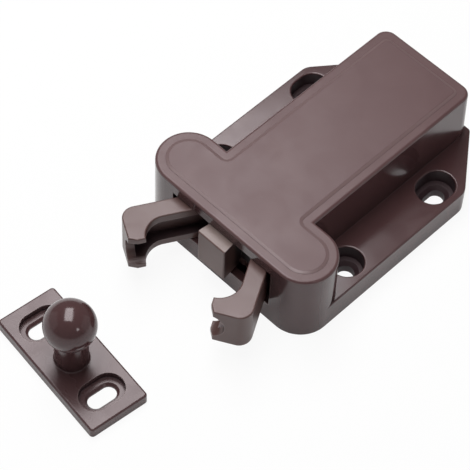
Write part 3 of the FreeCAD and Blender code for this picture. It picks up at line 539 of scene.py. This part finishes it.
def make_floor():
    """Pale floor that shows white to the eye, dimmer in gloss, and keeps a soft shadow."""
    mesh = bpy.data.meshes.new("studio_floor")
    half = FLOOR_SIZE / 2
    outline = ((-half, -half), (half, -half), (half, half), (-half, half))
    mesh.from_pydata([(x, y, -FLOOR_DROP) for x, y in outline], [], [(0, 1, 2, 3)])
    floor = bpy.data.objects.new("studio_floor", mesh)
    bpy.context.scene.collection.objects.link(floor)
    material, tree, shader = new_material("floor_white")
    shader.inputs["Base Color"].default_value = (*FLOOR_TONE, OPAQUE)
    shader.inputs["Roughness"].default_value = FLOOR_ROUGH
    shader.inputs["Specular IOR Level"].default_value = FLOOR_GLOSS
    glow = add_node(tree, "ShaderNodeEmission", (0, -1), Strength=FLOOR_WHITE)
    path = add_node(tree, "ShaderNodeLightPath", (-2, 3))
    share = add_node(tree, "ShaderNodeMath", (0, 3), operation="MAXIMUM")
    shares = (("Is Camera Ray", FLOOR_GLOW), ("Is Glossy Ray", FLOOR_GLOW_IN_GLOSS))
    for row, (ray, level) in enumerate(shares):
        dimmed = add_node(tree, "ShaderNodeMath", (-1, 3 - row), operation="MULTIPLY")
        dimmed.inputs[1].default_value = level
        tree.links.new(path.outputs[ray], dimmed.inputs[0])
        tree.links.new(dimmed.outputs["Value"], share.inputs[row])
    blend = add_node(tree, "ShaderNodeMixShader", (2, 0))
    out = tree.nodes["Material Output"]
    set_down(out, (3, 0))
    tree.links.new(share.outputs["Value"], blend.inputs["Fac"])
    tree.links.new(shader.outputs["BSDF"], blend.inputs[1])
    tree.links.new(glow.outputs["Emission"], blend.inputs[2])
    tree.links.new(blend.outputs["Shader"], out.inputs["Surface"])
    mesh.materials.append(material)


# The surround's strength as a light, in gloss, and to the eye
WORLD_FILL = 0.08
WORLD_IN_GLOSS = 0.20
WORLD_SEEN = 1.0


def make_world():
    """White surround, dimmer as a light than it looks."""
    world = bpy.data.worlds.new("studio")
    bpy.context.scene.world = world
    world.use_nodes = True
    tree = world.node_tree
    sky = tree.nodes["Background"]
    sky.inputs["Color"].default_value = (*WHITE, OPAQUE)
    path = add_node(tree, "ShaderNodeLightPath", (-4, 1))
    mirrored = add_node(tree, "ShaderNodeMapRange", (-3, 0), To_Min=WORLD_FILL, To_Max=WORLD_IN_GLOSS)
    level = add_node(tree, "ShaderNodeMapRange", (-2, 1), To_Max=WORLD_SEEN)
    tree.links.new(path.outputs["Is Glossy Ray"], mirrored.inputs["Value"])
    tree.links.new(mirrored.outputs["Result"], level.inputs["To Min"])
    tree.links.new(path.outputs["Is Camera Ray"], level.inputs["Value"])
    tree.links.new(level.outputs["Result"], sky.inputs["Strength"])


# The lamps: places, sizes as width and length, and brightness
LIGHT_AIM = Vector((0.0, -30.0, 8.0)) * MM
OVERHEAD_PLACE = Vector((-124.0, 17.0, 410.0)) * MM
OVERHEAD_SIZE = (220.0 * MM, 488.0 * MM)
OVERHEAD_RADIANCE = 6.2
PANEL_DISTANCE = 450.0 * MM
PANEL_HEIGHT = 180.0 * MM
PANEL_SIZE = (360.0 * MM, 500.0 * MM)
LEFT_PANEL_RADIANCE = 0.30
RIGHT_PANEL_RADIANCE = 0.25
SIDE_LAMP_WAY = Vector((0.841, -0.117, 0.526))
SIDE_LAMP_DISTANCE = 600.0 * MM
SIDE_LAMP_SIZE = (90.0 * MM, 90.0 * MM)
SIDE_LAMP_RADIANCE = 5.0


def add_softbox(name, place, facing, along, size, radiance):
    """Hangs a rectangular light of a given brightness that faces one way, its length along another."""
    width, length = size
    lamp = bpy.data.lights.new(name, "AREA")
    lamp.shape = "RECTANGLE"
    lamp.size = width
    lamp.size_y = length
    lamp.energy = radiance * math.pi * width * length
    outward = -facing.normalized()
    across = along.cross(outward).normalized()
    lengthwise = outward.cross(across)
    turn = Matrix((across, lengthwise, outward)).transposed().to_4x4()
    box = bpy.data.objects.new(name, lamp)
    bpy.context.scene.collection.objects.link(box)
    box.matrix_world = Matrix.Translation(place) @ turn


def make_lights():
    """Long softbox overhead, dim panels left and right, and a small lamp low on the right."""
    add_softbox("overhead_box", OVERHEAD_PLACE, -UP, VIEW_AWAY, OVERHEAD_SIZE, OVERHEAD_RADIANCE)
    panels = (
        ("left_panel", -VIEW_RIGHT, LEFT_PANEL_RADIANCE),
        ("right_panel", VIEW_RIGHT, RIGHT_PANEL_RADIANCE),
    )
    for name, way, radiance in panels:
        place = LIGHT_AIM + way * PANEL_DISTANCE
        place.z = PANEL_HEIGHT
        add_softbox(name, place, -way, VIEW_AWAY, PANEL_SIZE, radiance)
    side_place = LIGHT_AIM + SIDE_LAMP_WAY * SIDE_LAMP_DISTANCE
    add_softbox("side_lamp", side_place, -SIDE_LAMP_WAY, UP, SIDE_LAMP_SIZE, SIDE_LAMP_RADIANCE)


def make_camera():
    """Sets the camera at the photograph's angle, distance and slight roll."""
    back = UP * math.sin(CAMERA_ELEVATION) - VIEW_AWAY * math.cos(CAMERA_ELEVATION)
    upright = back.cross(VIEW_RIGHT)
    right = VIEW_RIGHT * math.cos(CAMERA_ROLL) + upright * math.sin(CAMERA_ROLL)
    up = upright * math.cos(CAMERA_ROLL) - VIEW_RIGHT * math.sin(CAMERA_ROLL)
    lens = bpy.data.cameras.new("camera")
    lens.sensor_fit = "HORIZONTAL"
    lens.sensor_width = CAMERA_SENSOR
    lens.lens = CAMERA_LENS
    lens.clip_start = CAMERA_CLIP
    camera = bpy.data.objects.new("camera", lens)
    bpy.context.scene.collection.objects.link(camera)
    turn = Matrix((right, up, back)).transposed().to_4x4()
    camera.matrix_world = Matrix.Translation(CAMERA_TARGET + back * CAMERA_DISTANCE) @ turn
    bpy.context.scene.camera = camera


dress_nodes()
make_spring()
make_floor()
make_world()
make_lights()
make_camera()
bpy.context.scene.view_settings.view_transform = "Standard"
